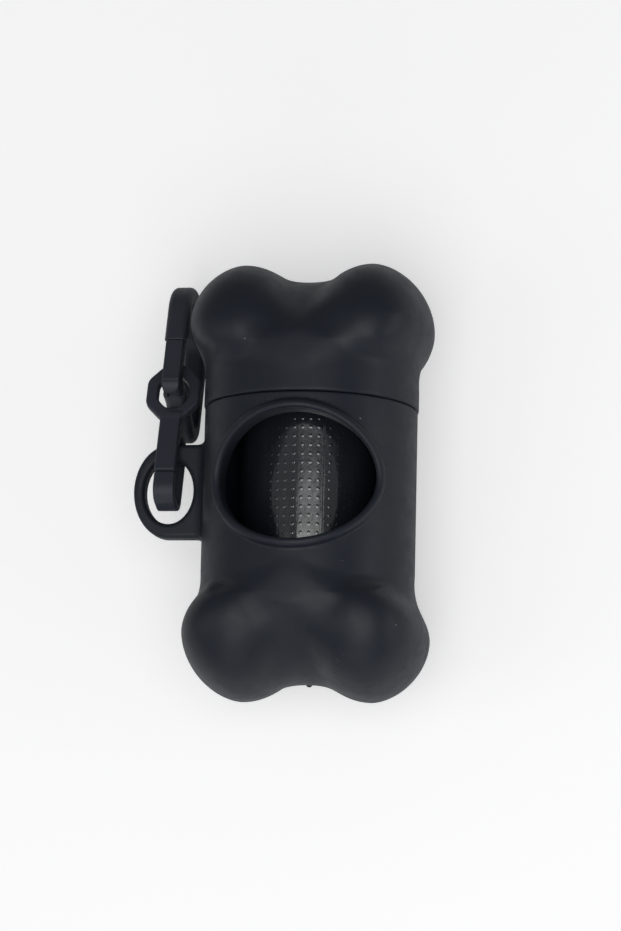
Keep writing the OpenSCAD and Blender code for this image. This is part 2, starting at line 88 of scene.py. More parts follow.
# Link
SHANK_W, SHANK_T, SHANK_ROUND, SHANK_END_ROUND = 4.0, 2.0, 0.4, 0.25
LOOP_T, LOOP_ROUND, LOOP_EDGE, LOOP_TAIL, LOOP_GAP, LOOP_STEP = 1.5, 1.6, 0.35, 10.2, 0.2, 0.4
SLIT_HALF, SLIT_SOFT, SLIT_PAST = 0.125, 0.2, 3.4
RING_HX, RING_HY, RING_BAR, RING_T, RING_ROUND, RING_OUT = 5.2, 5.9, 2.3, 1.8, 0.5, 11.2
RING_SIDE, RING_TOP, RING_SOFT, RING_CORNER_SOFT = 0.45, 0.4, 0.4, 0.7
SHANK_SOFT, RING_JOIN_SOFT = 0.3, 0.6
LINK_TILT = math.radians(20)

# Clip
CLIP_X, CLIP_W, CLIP_T, CLIP_ROUND, CLIP_L, CLIP_D, CLIP_TAIL = LINK_X + 0.3, 4.4, 3.4, 1.2, 30.5, 21.0, 6.4
NOSE_ROUND, HEEL_ROUND, TAIL_ROUND, ROOT_BEND = 6.0, 7.5, 4.0, 3.0
PIVOT_BACK, PIVOT_RISE, BAR_SHORT, CUT_SOFT, CUT_SPARE = 0.1, 2.5, 0.6, 0.3, 1
GATE_W, GATE_T, GATE_L, GATE_ROUND, GATE_END_ROUND = 3.6, 2.8, 10.7, 0.4, 1.5
LAP_L, GATE_GAP, GATE_OPEN, GATE_SOFT = 1.6, 0.15, math.radians(15), 0.3
TONGUE_W, TONGUE_R, TONGUE_ROUND, TONGUE_SOFT = 1.5, 1.4, 0.2, 0.2
ROOT_R, PIP_R, PIP_GAP, SOCKET_WALL = 2.2, 0.6, 0.05, 0.5

# ---------------------------------------------------------------- distance fields
# Least numbers, which keep divisions and powers finite, and a distance past every piece
TINY, TINIEST, FAR = 1e-4, 1e-9, 50.0


def soft_min(a, b, soft):
    """Both shapes together, with their meeting rounded over a width of soft."""
    h = np.maximum(soft - np.abs(a - b), 0) / soft
    return np.minimum(a, b) - h * h * soft / 4


def soft_max(a, b, soft):
    """What lies in both shapes, with the edge rounded over a width of soft."""
    return -soft_min(-a, -b, soft)


def all_of(first, *others):
    """What lies in every shape, with sharp edges."""
    for other in others:
        first = np.maximum(first, other)
    return first


def ellipse_d(x, y, rx, ry):
    """Distance from an ellipse, good near its line."""
    qx, qy = x / rx, y / ry
    n = np.hypot(qx, qy)
    return n * (n - 1) / np.maximum(np.hypot(qx / rx, qy / ry), TINY)


def corner_d(qx, qy, r):
    """Distance from a corner rounded by r, where qx and qy are measured from the round's centre."""
    return np.minimum(np.maximum(qx, qy), 0) + np.hypot(np.maximum(qx, 0), np.maximum(qy, 0)) - r


def box2_d(x, y, hx, hy, r):
    """Distance from a rectangle of half sizes hx and hy, with its corners rounded by r."""
    return corner_d(np.abs(x) - hx + r, np.abs(y) - hy + r, r)


def thick_d(outline, depth, half, r):
    """A flat outline's distance given a thickness of 2 * half, with its edges rounded by r."""
    return corner_d(outline + r, np.abs(depth) - half + r, r)


# ---------------------------------------------------------------- case
def barrel_d(x, y, z, r):
    """A barrel cut off by a dome that is deeper than the barrel, so that a soft crest crosses its front."""
    q = np.maximum(y - DOME_Y, 0) / DOME_L
    side = np.hypot(x / r, z / (DOME_RZ - BARREL_R + r))
    n = np.hypot(side, q)
    slope = np.maximum(np.hypot(side / r, q / DOME_L), TINY)
    return soft_max(np.hypot(x, z) - r, n * (n - 1) / slope, DOME_SOFT)


def lobe_d(x, y, z, side, arm=False):
    """One lobe; an arm is a slimmer, fuller lobe drawn out from the fork on the centre line."""
    rz = LOBE_RZ - CREST_FALL * np.maximum(y - CREST_Y, 0)
    lean = LEAN * np.minimum(np.abs(z) / LOBE_RZ, 1) ** 2
    x, y = side * x - LOBE_X, y - LOBE_Y + lean
    slim, fullness, size = 0, 2, 1
    if arm:
        slim, fullness = ARM_SLIM, ARM_FULLNESS
        back_x, back_y = -LOBE_X, FORK_Y - LOBE_Y + lean
        out = np.clip((x * back_x + y * back_y) / (back_x**2 + back_y**2), 0, 1)
        x, y = x - out * back_x, y - out * back_y
        size = 1 - ARM_TAPER * out
    c, s = math.cos(LOBE_TURN), math.sin(LOBE_TURN)
    across = np.abs(x * c - y * s) / (LOBE_RX - slim) / size
    along = np.abs(x * s + y * c) / (LOBE_RY - slim) / size
    outline = (across**LOBE_FULLNESS + along**LOBE_FULLNESS + TINIEST) ** (1 / LOBE_FULLNESS)
    high = np.abs(z) / (rz - slim * (ARM_SINK - size))
    return ((outline**fullness + high**fullness) ** (1 / fullness) - 1) * LOBE_RX * size


def bone_d(x, y, z, r):
    """One end of the case, pointing to +Y, kept just inside the CAD model's top and bottom planes."""
    high = np.minimum(np.abs(z) / r, 1) ** 2
    lobes = soft_min(lobe_d(x, y, z, -1), lobe_d(x, y, z, 1), DIP_SOFT * (1 - DIP_FADE * high))
    skin = soft_min(barrel_d(x, y, z, r), lobes, VALLEY_SOFT * (1 - VALLEY_FADE * high))
    arms = soft_min(lobe_d(x, y, z, -1, True), lobe_d(x, y, z, 1, True), FORK_SOFT)
    return soft_max(soft_min(skin, arms, ARM_SOFT), np.abs(z) - AXIS_Z + PLANE_TRIM, PLANE_SOFT)


def hollow_d(x, y, z):
    """The bay and the pockets in the lobes, closed at +Y and open at -Y."""
    bay = soft_max(np.hypot(x, z) - BAY_R, y - BAY_END, BAY_ROUND)
    past = np.maximum(y - POCKET_Y, 0)
    pockets = np.sqrt((np.abs(x) - POCKET_X) ** 2 + z * z + past * past) - POCKET_R
    return soft_min(bay, all_of(pockets, POCKET_START - y), POCKET_SOFT)


def lip_d(x, y, z):
    """A tube laid round the window on the barrel; a few steps find the nearest place on its middle line."""
    hx, hy = WINDOW_HX + LIP_R - LIP_IN, WINDOW_HY + LIP_R - LIP_IN
    r = BARREL_R + LIP_RISE
    y = y - WINDOW_Y

    def middle(angle):
        cx, cy = hx * np.cos(angle), hy * np.sin(angle)
        return cx, cy, np.sqrt(r * r - cx * cx)

    angle = np.arctan2(y / hy, x / hx)
    for _ in range(LIP_STEPS):
        cx, cy, cz = middle(angle)
        dx, dy = -hx * np.sin(angle), hy * np.cos(angle)
        dz = -cx * dx / cz
        miss = (cx - x) * dx + (cy - y) * dy + (cz - z) * dz
        angle = angle - miss / (dx * dx + dy * dy + dz * dz) * LIP_STEP
    cx, cy, cz = middle(angle)
    return np.sqrt((x - cx) ** 2 + (y - cy) ** 2 + (z - cz) ** 2) - LIP_R


def ear_hole_d(x, y):
    """The oval hole that the link goes through, the same all the way through the ear."""
    return ellipse_d(x - LINK_X, y - EAR_Y, EAR_HOLE_HX, EAR_HY - EAR_BAR)


def ear_d(x, y, z):
    """A flat ear that comes straight out of the barrel and ends in a half oval."""
    out = LINK_X - x
    round_end = ellipse_d(np.maximum(out, 0), y - EAR_Y, EAR_HOLE_HX + EAR_END, EAR_HY)
    strip = np.abs(y - EAR_Y) - EAR_HY
    outline = np.where(out > 0, round_end, all_of(strip, x + BAY_R + EAR_SINK))
    return thick_d(all_of(outline, -ear_hole_d(x, y)), z, EAR_T / 2, EAR_ROUND)


def body_d(x, y, z):
    """The lower shell: its end points to -Y, and its neck to +Y."""
    z = z - AXIS_Z
    skin = soft_max(bone_d(x, -y, z, BARREL_R), y - JOINT_Y, BODY_RIM_SOFT)
    neck = soft_max(np.hypot(x, z) - NECK_R, y - NECK_END, NECK_ROUND)
    d = soft_min(skin, all_of(neck, JOINT_Y - NECK_ROOT - y), NECK_SOFT)
    d = soft_min(d, ear_d(x, y, z), EAR_SOFT)
    d = soft_min(d, np.where(z > 0, lip_d(x, y, np.maximum(z, 0)), FAR), LIP_SOFT)
    nub = np.sqrt((x - NUB_AT[0]) ** 2 + (y - NUB_AT[1]) ** 2 + (z - NUB_AT[2]) ** 2) - NUB_R
    d = soft_min(d, nub, NUB_SOFT)
    d = soft_max(d, -hollow_d(x, -y, z), HOLLOW_SOFT)
    window = all_of(ellipse_d(x, y - WINDOW_Y, WINDOW_HX, WINDOW_HY), -z)
    d = soft_max(d, -window, WINDOW_SOFT)
    return all_of(d, -all_of(ear_hole_d(x, y), np.abs(z) - EAR_T))


def cap_d(x, y, z):
    """The upper shell, whose socket takes the neck."""
    z = z - AXIS_Z
    d = soft_max(bone_d(x, y, z, BARREL_R + CAP_PROUD), JOINT_Y + RIM_GAP - y, CAP_RIM_SOFT)
    socket = all_of(np.hypot(x, z) - NECK_R - SOCKET_GAP, y - SOCKET_END)
    return soft_max(d, -soft_min(hollow_d(x, y, z), socket, SOCKET_SOFT), HOLLOW_SOFT)


# ---------------------------------------------------------------- link, in its own frame
BAR_SAG = (EAR_HY - EAR_BAR) * (1 - math.sqrt(1 - (SHANK_W / 2 / EAR_HOLE_HX) ** 2))
LOOP_IN = math.hypot(EAR_BAR / 2 + BAR_SAG - EAR_ROUND, EAR_T / 2 - EAR_ROUND) + EAR_ROUND + LOOP_GAP
SHANK_Z = LOOP_IN + LOOP_T + LOOP_STEP - SHANK_T / 2
SHANK_END = -LOOP_IN - SLIT_PAST


def into(x, y, z, place, tilt):
    """World coordinates in the frame of a piece that leans down by tilt towards +Y."""
    y, z = y - place[1], z - place[2]
    c, s = math.cos(tilt), math.sin(tilt)
    return x - place[0], y * c - z * s, y * s + z * c


def octagon_d(x, y, hx, hy):
    """An eight-sided outline with softened corners."""
    side, end = hy * RING_SIDE, hx * RING_TOP
    nx, ny = hy - side, hx - end
    corner = (np.abs(x) * nx + np.abs(y) * ny - (hx * nx + side * ny)) / math.hypot(nx, ny)
    return soft_max(soft_max(np.abs(x) - hx, np.abs(y) - hy, RING_SOFT), corner, RING_CORNER_SOFT)


def link_d(x, y, z):
    """The loop round the ear's bar with its slit, the shank on top of it, and the flat ring."""
    x, y, z = into(x, y, z, (LINK_X, BAR_Y, AXIS_Z), LINK_TILT)
    long = EAR_BAR / 2 + LOOP_TAIL + LOOP_IN + LOOP_T
    high = 2 * (LOOP_IN + LOOP_T)
    outer = box2_d(y - LOOP_IN - LOOP_T + long / 2, z, long / 2, high / 2, LOOP_T + LOOP_ROUND)
    inner_y = y - LOOP_IN + (long - 2 * LOOP_T) / 2
    inner = box2_d(inner_y, z, long / 2 - LOOP_T, high / 2 - LOOP_T, LOOP_ROUND)
    slit = all_of(np.abs(y - SHANK_END + SLIT_HALF) - SLIT_HALF, -z)
    loop = soft_max(all_of(outer, -inner), -slit, SLIT_SOFT)
    loop = thick_d(loop, x, SHANK_W / 2, LOOP_EDGE)
    end = RING_OUT - RING_HY + RING_BAR / 2
    shank = box2_d(x, z - SHANK_Z, SHANK_W / 2, SHANK_T / 2, SHANK_ROUND)
    shank = thick_d(shank, y - (SHANK_END + end) / 2, (end - SHANK_END) / 2, SHANK_END_ROUND)
    line = octagon_d(x, y - RING_OUT, RING_HX - RING_BAR / 2, RING_HY - RING_BAR / 2)
    ring = thick_d(np.abs(line) - RING_BAR / 2, z - SHANK_Z, RING_T / 2, RING_ROUND)
    return soft_min(soft_min(loop, shank, SHANK_SOFT), ring, RING_JOIN_SOFT)


# ---------------------------------------------------------------- clip, in its own frame
RING_DIR = np.array([math.cos(LINK_TILT), -math.sin(LINK_TILT)])
RING_UP = np.array([math.sin(LINK_TILT), math.cos(LINK_TILT)])
PIVOT = np.array([BAR_Y, AXIS_Z])
PIVOT = PIVOT + (RING_OUT - PIVOT_BACK) * RING_DIR + (SHANK_Z + RING_T / 2 + PIVOT_RISE) * RING_UP
MID_Y = ROOT_R - CLIP_T / 2
LAP_Y = ROOT_R - GATE_T / 2
NOSE_X = CLIP_L - CLIP_TAIL
SPINE_Y = MID_Y - CLIP_D + CLIP_T
HEEL = (NOSE_X - CLIP_T / 2 - HEEL_ROUND, -SPINE_Y - HEEL_ROUND)
HEEL_ANGLE = math.atan(HEEL[1] / HEEL[0])
CLIP_TILT = math.asin((PIVOT[1] - HEEL_ROUND - CLIP_T / 2) / math.hypot(*HEEL)) - HEEL_ANGLE
CLIP_PLACE = (CLIP_X, PIVOT[0], PIVOT[1])


def rounded_path(corners, steps=12):
    """Points along a line of (corner, radius) pairs, with an arc of the radius at each corner."""
    path = [np.array(corners[0][0], float)]
    for (a, _), (b, r), (c, _) in zip(corners, corners[1:], corners[2:]):
        a, b, c = (np.array(p, float) for p in (a, b, c))
        u, v = (a - b) / np.linalg.norm(a - b), (c - b) / np.linalg.norm(c - b)
        half = math.acos(u @ v) / 2
        centre = b + (u + v) / np.linalg.norm(u + v) * r / math.sin(half)
        start = (b + u * r / math.tan(half) - centre) / r
        stop = (b + v * r / math.tan(half) - centre) / r
        turn = math.pi - 2 * half
        for i in range(steps + 1):
            t = turn * i / steps
            path.append(centre + r * (math.sin(turn - t) * start + math.sin(t) * stop) / math.sin(turn))
    path.append(np.array(corners[-1][0], float))
    return path


FRAME_PATH = rounded_path(
    [
        ((GATE_L - LAP_L - BAR_SHORT, MID_Y), 0),
        ((NOSE_X - CLIP_T / 2, MID_Y), NOSE_ROUND),
        ((NOSE_X - CLIP_T / 2, SPINE_Y), HEEL_ROUND),
        ((-CLIP_TAIL + CLIP_T / 2, SPINE_Y), TAIL_ROUND),
        ((0, -ROOT_R - CLIP_T), ROOT_BEND),
        ((0, -ROOT_R / 2), 0),
    ]
)


def path_d(y, z, path):
    """Distance from the nearest stretch of the path."""
    d = np.full(np.broadcast(y, z).shape, FAR)
    for a, b in zip(path, path[1:]):
        along = b - a
        t = np.clip(((y - a[0]) * along[0] + (z - a[1]) * along[1]) / (along @ along), 0, 1)
        d = np.minimum(d, np.hypot(y - a[0] - t * along[0], z - a[1] - t * along[1]))
    return d


def clip_frame_d(x, y, z):
    """The C-shaped frame, cut away under the gate's tip, with the tongue and pips for the gate's root."""
    x, y, z = into(x, y, z, CLIP_PLACE, CLIP_TILT)
    around = np.hypot(y, z)
    bar = thick_d(path_d(y, z, FRAME_PATH) - CLIP_T / 2, x, CLIP_W / 2, CLIP_ROUND)
    near = all_of(GATE_L / 2 - y, -CLIP_T - z)
    upper = all_of(around - GATE_L + LAP_L, near, z - ROOT_R - CUT_SPARE)
    lower = all_of(around - GATE_L - GATE_GAP, near, z - LAP_Y - GATE_GAP)
    for cut in (around - ROOT_R - GATE_GAP, upper, lower):
        bar = soft_max(bar, -cut, CUT_SOFT)
    tongue = thick_d(around - TONGUE_R, x, TONGUE_W / 2, TONGUE_ROUND)
    web_half = ROOT_R / 2 + CLIP_T / 4
    web = all_of(np.abs(y) - TONGUE_R, np.abs(z + web_half) - web_half, np.abs(x) - TONGUE_W / 2)
    pips = all_of(around - PIP_R, np.abs(x) - GATE_W / 2 + SOCKET_WALL)
    return soft_min(np.minimum(bar, pips), np.minimum(tongue, web), TONGUE_SOFT)


def clip_gate_d(x, y, z):
    """The gate: a bar with a thinner tip that laps the frame, and a slotted root that turns on the pips."""
    x, y, z = into(x, y, z, CLIP_PLACE, CLIP_TILT)
    around = np.hypot(y, z)
    under = ROOT_R - GATE_T - z
    bar = all_of(around - GATE_L + LAP_L + GATE_GAP, -y, z - ROOT_R, under)
    tip = all_of(around - GATE_L, -y, z - LAP_Y, under)
    d = soft_min(np.minimum(bar, tip), around - ROOT_R, GATE_SOFT)
    d = thick_d(d, x, GATE_W / 2, GATE_ROUND)
    plan = box2_d(x, y - GATE_L / 2, GATE_W / 2, GATE_L / 2 + ROOT_R, GATE_END_ROUND)
    d = soft_max(d, plan, GATE_SOFT)
    socket = all_of(around - PIP_R - PIP_GAP, np.abs(x) - GATE_W / 2 + SOCKET_WALL)
    room = ROOT_R + TONGUE_R + ROOT_R * math.tan(GATE_OPEN) + GATE_GAP
    below = all_of(-y - ROOT_R, y + ROOT_R - room, z, -z - ROOT_R)
    slot = all_of(np.minimum(around - TONGUE_R - GATE_GAP, below), np.abs(x) - TONGUE_W / 2 - GATE_GAP)
    return all_of(d, -np.minimum(socket, slot))


# ---------------------------------------------------------------- meshes from fields
SLAB, PULLS, PULL_EPS, PULL_LIMIT, LEAST_SLOPE = 16, 4, 0.02, 0.3, 0.2


def new_piece(name, points, faces, normals=None):
    """A smooth-shaded object from points in millimetres."""
    mesh = bpy.data.meshes.new(name)
    mesh.from_pydata((np.asarray(points) * MM).tolist(), [], np.asarray(faces).tolist())
    mesh.shade_smooth()
    if normals is not None:
        mesh.normals_split_custom_set_from_vertices(normals.tolist())
    piece = bpy.data.objects.new(name, mesh)
    bpy.context.scene.collection.objects.link(piece)
    return piece


def slope_of(field, points, eps):
    """The field's slope at each point, from the values a distance eps ahead and behind."""
    slope = np.empty_like(points)
    for i in range(3):
        ahead, behind = points.copy(), points.copy()
        ahead[:, i] += eps
        behind[:, i] -= eps
        slope[:, i] = (field(*ahead.T) - field(*behind.T)) / (2 * eps)
    return slope


def field_mesh(name, field, low, high, pitch):
    """Surface nets: one vertex for each cell that the surface passes, then moved onto the surface."""
    low = np.array(low, float)
    n = np.ceil((np.array(high) - low) / pitch).astype(int) + 1
    axes = [low[i] + pitch * np.arange(n[i]) for i in range(3)]
    value = np.empty(n, np.float32)
    for k in range(0, n[0], SLAB):
        block = np.meshgrid(axes[0][k : k + SLAB], axes[1], axes[2], indexing="ij")
        value[k : k + SLAB] = field(*block)
    inside = value < 0
    total = np.zeros((value.size, 3), np.float32)
    count = np.zeros(value.size, np.float32)
    quads = []
    for a in range(3):
        b, c = [i for i in range(3) if i != a]
        first, second = [slice(None)] * 3, [slice(None)] * 3
        first[a], second[a] = slice(0, -1), slice(1, None)
        crossed = np.argwhere(inside[tuple(first)] != inside[tuple(second)])
        crossed = crossed[((crossed > 0) & (crossed < n - 1))[:, [b, c]].all(1)]
        other = crossed.copy()
        other[:, a] += 1
        v0, v1 = value[tuple(crossed.T)], value[tuple(other.T)]
        at = crossed.astype(np.float32)
        at[:, a] += v0 / (v0 - v1)
        corners = []
        for db, dc in ((0, 0), (-1, 0), (-1, -1), (0, -1)):
            cell = crossed.copy()
            cell[:, b] += db
            cell[:, c] += dc
            cell = np.ravel_multi_index(cell.T, n)
            corners.append(cell)
            for i in range(3):
                total[:, i] += np.bincount(cell, at[:, i], value.size)
            count += np.bincount(cell, minlength=value.size)
        quad = np.stack(corners, 1)
        turned = (v0 > 0) ^ (a == 1)
        quad[turned] = quad[turned][:, ::-1]
        quads.append(quad)
    used, faces = np.unique(np.concatenate(quads), return_inverse=True)
    points = low + pitch * total[used] / count[used][:, None]
    for _ in range(PULLS):
        slope = slope_of(field, points, PULL_EPS)
        steep = np.maximum((slope**2).sum(1), LEAST_SLOPE)
        step = -field(*points.T)[:, None] * slope / steep[:, None]
        points = points + np.clip(step, -PULL_LIMIT * pitch, PULL_LIMIT * pitch)
    normals = slope_of(field, points, PULL_LIMIT * pitch)
    normals /= np.maximum(np.linalg.norm(normals, axis=1), TINY)[:, None]
    return new_piece(name, points, faces.reshape(-1, 4), normals)


def node_mesh(name, field, node, body_name, spare=0.6):
    """A small piece's mesh, searched in the box of the node that it replaces."""
    low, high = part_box(node)
    pitch = FINE_PITCH
    piece = field_mesh(name, field, np.array(low) / MM - spare, np.array(high) / MM + spare, pitch)
    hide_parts(node)
    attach(piece, body_name)
    return piece


# Boxes in which the shells are searched
MARGIN, SIDE_X, LIP_TOP, CAP_TOP = 1, 24, 23.5, 22
ear_side = LINK_X - EAR_HOLE_HX - EAR_END - MARGIN
body_box = (ear_side, -HALF_L - MARGIN, -MARGIN), (SIDE_X, NECK_END + MARGIN, AXIS_Z + LIP_TOP)
cap_box = (-SIDE_X, JOINT_Y - MARGIN, -MARGIN), (SIDE_X, HALF_L + MARGIN, AXIS_Z + CAP_TOP)
case_pitch = CASE_PITCH
body = field_mesh("case_body", body_d, *body_box, case_pitch)
cap = field_mesh("case_cap", cap_d, *cap_box, case_pitch)
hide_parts("body")
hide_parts("cap")
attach(body, "case")
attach(cap, "cap")
link = node_mesh("snap_link", link_d, "link", "link")
clip = node_mesh("clip_hook", clip_frame_d, "clip_frame", "clip")
gate = node_mesh("clip_latch", clip_gate_d, "clip_gate", "gate")

# ---------------------------------------------------------------- roll of film and its core
TRIM = 0.02
FILM_STEP, FILM_SLACK, FILM_GAP, RAGGED = 0.08, 0.14, 0.05, 0.03
FILM_EDGE = math.radians(72)
RIPPLE_FADE, EDGE_RIPPLE, END_STRETCH = 6, 0.2, 10
# Each ripple's height, waves round the roll, and radians for each millimetre along it
RIPPLES = ((0.05, 3, 0.2), (0.04, 7, -0.35), (0.03, 2, 0.5), (0.02, 17, 0.1))
# The ripples use the first of these random draws; the others are made so that later draws stay the same
WAVE_DRAWS = 9


def roll_piece():
    """Film wound in a spiral whose free edge lies under the window; its ends are slightly ragged."""
    around, length, rings = 360, 150, 10
    row = around + 1
    rng = np.random.default_rng(7)
    waves = rng.uniform(0, 2 * math.pi, WAVE_DRAWS)
    turns = np.arange(row) / around
    points, faces, uvs = [], [], []

    def surface(t, v):
        """Radius and angle at a share t of the last turn and a place v along the roll."""
        a = FILM_EDGE + 2 * math.pi * t
        r = ROLL_R - TRIM - FILM_STEP * (1 - t)
        ripple = sum(h * math.sin(n * a + w + k * v) for (h, n, k), w in zip(RIPPLES, waves))
        return r - FILM_SLACK + ripple * min(1, RIPPLE_FADE * t, RIPPLE_FADE * (1 - t) + EDGE_RIPPLE), a

    for v in np.linspace(-ROLL_L / 2, ROLL_L / 2, length):
        for t in turns:
            r, a = surface(t, v)
            points.append((r * math.cos(a), v, r * math.sin(a)))
            uvs.append((a * ROLL_R, v))
    for j in range(length - 1):
        for k in range(j * row, j * row + around):
            faces.append((k, k + row, k + row + 1, k + 1))
    first = len(points)
    for end, v in ((0, -ROLL_L / 2), (1, ROLL_L / 2)):
        base = (length - 1) * row * end
        start = len(points)
        for ring in range(1, rings + 1):
            for i, t in enumerate(turns):
                r0, a = surface(t, v)
                r = r0 + (CORE_R + FILM_GAP - r0) * (ring / rings)
                out = RAGGED * (rng.random() if ring < rings and i < around else 0)
                points.append((r * math.cos(a), v - (1 if end else -1) * out, r * math.sin(a)))
                uvs.append((a * r, r * END_STRETCH))
        for ring in range(rings):
            inner = start + ring * row
            outer = base if ring == 0 else inner - row
            for i in range(around):
                quad = (outer + i, outer + i + 1, inner + i + 1, inner + i)
                faces.append(quad if end == 0 else quad[::-1])
    # The bore joins the two ends' innermost rings, and the step closes the film's free edge
    low, high = first + (rings - 1) * row, first + (2 * rings - 1) * row
    faces += [(low + i, low + i + 1, high + i + 1, high + i) for i in range(around)]
    faces += [(k, k + around, k + row + around, k + row) for k in range(0, (length - 1) * row, row)]
    piece = new_piece("bag_film_roll", np.array(points) + (0, 0, AXIS_Z - ROLL_Z), faces)
    layer = piece.data.uv_layers.new(name="film")
    for loop in piece.data.loops:
        layer.data[loop.index].uv = [c * MM for c in uvs[loop.vertex_index]]
    return piece


roll = roll_piece()
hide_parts("bag_roll")
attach(roll, "roll")

SEAM_CLIMB, SEAM_DEPTH, SEAM_WIDTH = 24, 0.06, 0.01
OUTER_CHAMFER, INNER_CHAMFER = 0.25, 0.2


def core_piece():
    """Paper tube wound from a strip, with a seam that climbs round it."""
    around, length = 144, 60
    outer, inner = CORE_R - TRIM, CORE_R - CORE_WALL
    half = ROLL_L / 2
    rows = [(outer, -half + ROLL_L * j / length) for j in range(length + 1)]
    rows += [(outer - OUTER_CHAMFER, half), (inner + INNER_CHAMFER, half)]
    rows += [(inner, half - ROLL_L * j / length) for j in range(length + 1)]
    rows += [(inner + INNER_CHAMFER, -half), (outer - OUTER_CHAMFER, -half)]
    points, faces = [], []
    for r, v in rows:
        for i in range(around):
            a = 2 * math.pi * i / around
            seam = (v / SEAM_CLIMB + a / (2 * math.pi)) % 1
            near = min(seam, 1 - seam) / SEAM_WIDTH
            dent = SEAM_DEPTH * math.exp(-(near**2)) if r == outer else 0
            points.append(((r - dent) * math.cos(a), v, (r - dent) * math.sin(a)))
    for j in range(len(rows)):
        this, after = j * around, (j + 1) % len(rows) * around
        for i in range(around):
            k = (i + 1) % around
            faces.append((this + i, after + i, after + k, this + k))
    return new_piece("roll_tube", np.array(points) + (0, 0, AXIS_Z - ROLL_Z), faces)


core = core_piece()
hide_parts("roll_core")
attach(core, "roll")


# ---------------------------------------------------------------- materials
# Dust: cells for each metre, the random number above which a cell has a speck, its size and its paleness
DUST_CELLS, DUST_RARE, DUST_SIZE, DUST_PALE = 420, 0.89, 0.07, 0.5


class Look:
    """A material, with a short call for each kind of node that it is built from."""

    def __init__(self, name):
        self.material = bpy.data.materials.new(name)
        self.material.use_nodes = True
        self.tree = self.material.node_tree
        self.shader = self.tree.nodes["Principled BSDF"]

    def put(self, node, inputs):
        """Gives each named input its value, or a link if the value is another node's output."""
        for key, value in inputs.items():
            if isinstance(value, bpy.types.NodeSocket):
                self.tree.links.new(value, node.inputs[key])
            else:
                node.inputs[key].default_value = value

    def node(self, kind, inputs=None, **settings):
        """Adds a node and returns its outputs."""
        made = self.tree.nodes.new("ShaderNode" + kind)
        for name, value in settings.items():
            setattr(made, name, value)
        self.put(made, inputs or {})
        return made.outputs

    def place(self):
        return self.node("TexCoord")["Object"]

    def math(self, operation, *values):
        return self.node("Math", dict(enumerate(values)), operation=operation)[0]

    def times(self, a, b):
        return self.math("MULTIPLY", a, b)

    def plus(self, a, b):
        return self.math("ADD", a, b)

    def off(self, value, middle):
        """How far a value lies from the middle."""
        return self.math("ABSOLUTE", self.math("SUBTRACT", value, middle))

    def noise(self, place, scale, detail=2, roughness=0.5):
        inputs = {"Vector": place, "Scale": scale, "Detail": detail, "Roughness": roughness}
        return self.node("TexNoise", inputs)["Fac"]

    def stretched(self, place, scale, turn=(0, 0, 0)):
        return self.node("Mapping", {"Vector": place, "Scale": scale, "Rotation": turn})[0]

    def ramp(self, value, low, high, at_low, at_high):
        inputs = {"Value": value, "From Min": low, "From Max": high, "To Min": at_low, "To Max": at_high}
        return self.node("MapRange", inputs, interpolation_type="SMOOTHSTEP")["Result"]

    def mix(self, factor, a, b):
        return self.node("Mix", {"Factor": factor, "A": a, "B": b}, data_type="RGBA")["Result"]

    def bump(self, height, strength, distance):
        return self.node("Bump", {"Height": height, "Strength": strength, "Distance": distance})["Normal"]

    def finish(self, **inputs):
        """Sets the surface's inputs; a name's underscores stand for spaces."""
        self.put(self.shader, {key.replace("_", " "): value for key, value in inputs.items()})
        return self.material


def plastic(name, colour, rough, seam=False, dust=1.0):
    """Matte moulded plastic: fine grain, faint rubs and scratches, dust, and a mould's parting line."""
    look = Look(name)
    place = look.place()
    cloud = look.noise(place, 60, 3)
    rub = look.noise(place, 260, 4, 0.7)
    grain = look.noise(place, 3200)
    # Dust: a speck in the middle of a few cells, chosen and sized by the cell's random colour
    cells = look.node("TexVoronoi", {"Vector": place, "Scale": DUST_CELLS})
    random = look.node("SeparateColor", {0: cells["Color"]})
    chosen = look.math("GREATER_THAN", random[0], DUST_RARE)
    speck = look.math("LESS_THAN", cells["Distance"], look.times(random[1], DUST_SIZE))
    # Scratches: thin lines of stretched noise, only in a few patches
    thin = look.noise(look.stretched(place, (900, 60, 900), (0.2, 0.1, 0.35)), 1, 1)
    line = look.ramp(look.off(thin, 0.5), 0.0, 0.006, 1, 0)
    patch = look.ramp(look.noise(place, 90), 0.6, 0.72, 0, 1)
    scratch = look.times(line, patch)
    dusty = look.times(look.times(chosen, speck), DUST_PALE * dust)
    lift = look.plus(dusty, look.times(scratch, 0.10))
    dark, pale = (*[c * 0.88 for c in colour], 1), (*[c * 1.15 for c in colour], 1)
    height = look.plus(look.times(grain, 0.35), look.times(rub, 0.25))
    height = look.math("SUBTRACT", height, look.times(scratch, 0.5))
    if seam:
        z = look.node("SeparateXYZ", {0: place})["Z"]
        ridge = look.ramp(look.off(z, AXIS_Z * MM), 0.0, 0.22 * MM, 1, 0)
        height = look.plus(height, look.times(ridge, 4.0))
    return look.finish(
        Base_Color=look.mix(lift, look.mix(cloud, dark, pale), (0.45, 0.46, 0.48, 1)),
        Roughness=look.ramp(rub, 0.3, 0.75, rough - 0.05, rough + 0.06),
        Specular_IOR_Level=0.3,
        Normal=look.bump(height, 0.35, 0.06 * MM),
    )


